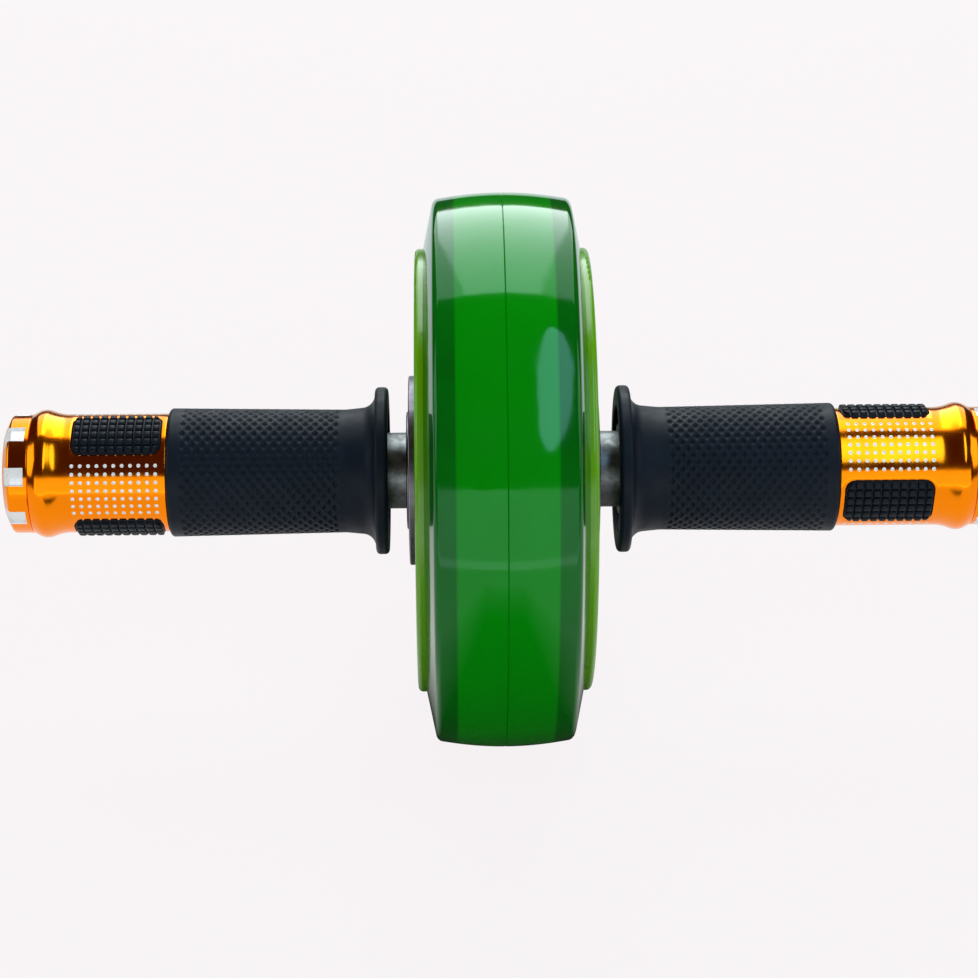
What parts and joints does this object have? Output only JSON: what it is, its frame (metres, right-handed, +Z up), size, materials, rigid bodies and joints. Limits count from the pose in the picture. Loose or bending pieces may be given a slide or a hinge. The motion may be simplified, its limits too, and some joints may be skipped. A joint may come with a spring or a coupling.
{
  "type": "ab wheel roller",
  "caption": "Wide crowned roller wheel on ball bearings, turning freely on a straight bar with a flanged rubber grip and a padded metal end barrel on each side.",
  "frame": {"origin": "centre of the wheel, on the bar's axis, which is also the centre of the whole roller", "axes": "+X along the bar towards the right-hand grip, +Z up, -Y towards the viewer of the picture; the floor is at z = -0.08"},
  "size_m": [0.2866, 0.16, 0.16],
  "materials": {
    "tyre_green": "deep green translucent tyre compound, high gloss",
    "hub_lime": "lime green moulded plastic, gloss",
    "cover_steel": "dull grey plated steel, satin",
    "bar_steel": "raw drawn steel tube, oiled, lightly speckled",
    "bearing_steel": "ground and polished bearing steel",
    "seal_rubber": "black bearing seal, satin",
    "cage_nylon": "natural nylon, matte",
    "spring_steel": "blackened spring steel",
    "turned_steel": "turned steel, bare",
    "screw_steel": "zinc plated screws",
    "sleeve_nylon": "black nylon, matte",
    "grip_rubber": "blue-black grip rubber, matte with a moulded diamond texture",
    "pad_rubber": "black rubber pads moulded in small blocks",
    "orange_anodised": "orange anodised aluminium with bright cut slots and dimples"
  },
  "bodies": {
    "bar": {"axle_tube": "bar_steel", "bearing_spacer": "turned_steel", "left_bearing_inner_race": "bearing_steel", "right_bearing_inner_race": "bearing_steel", "left_circlip": "spring_steel", "right_circlip": "spring_steel", "left_grip_sleeve": "sleeve_nylon", "right_grip_sleeve": "sleeve_nylon", "left_rubber_grip": "grip_rubber", "right_rubber_grip": "grip_rubber", "left_barrel": "orange_anodised", "right_barrel": "orange_anodised", "left_pad_insert": "pad_rubber", "right_pad_insert": "pad_rubber", "left_end_cap": "orange_anodised", "right_end_cap": "orange_anodised", "left_end_screw": "screw_steel", "right_end_screw": "screw_steel", "left_tube_plug": "turned_steel", "right_tube_plug": "turned_steel"},
    "wheel": {"tyre": "tyre_green", "hub_screws": "screw_steel", "left_hub_half": "hub_lime", "right_hub_half": "hub_lime", "left_bearing_cover": "cover_steel", "right_bearing_cover": "cover_steel", "left_cover_screws": "screw_steel", "right_cover_screws": "screw_steel", "left_bearing_outer_race": "bearing_steel", "right_bearing_outer_race": "bearing_steel", "left_bearing_seals": "seal_rubber", "right_bearing_seals": "seal_rubber"},
    "left_balls": {"left_ball_cage": "cage_nylon", "left_bearing_balls": "bearing_steel"},
    "right_balls": {"right_ball_cage": "cage_nylon", "right_bearing_balls": "bearing_steel"}
  },
  "joints": [
    {"name": "wheel_spin", "type": "hinge", "parent": "bar", "child": "wheel", "pos_m": [0, 0, 0], "axis": [1, 0, 0], "continuous": true},
    {"name": "left_ball_spin", "type": "hinge", "parent": "bar", "child": "left_balls", "pos_m": [-0.017, 0, 0], "axis": [1, 0, 0], "continuous": true},
    {"name": "right_ball_spin", "type": "hinge", "parent": "bar", "child": "right_balls", "pos_m": [0.017, 0, 0], "axis": [1, 0, 0], "continuous": true}
  ],
  "couplings": [
    {"joint": "left_ball_spin", "follows": "wheel_spin", "ratio": 0.5962},
    {"joint": "right_ball_spin", "follows": "wheel_spin", "ratio": 0.5962}
  ]
}
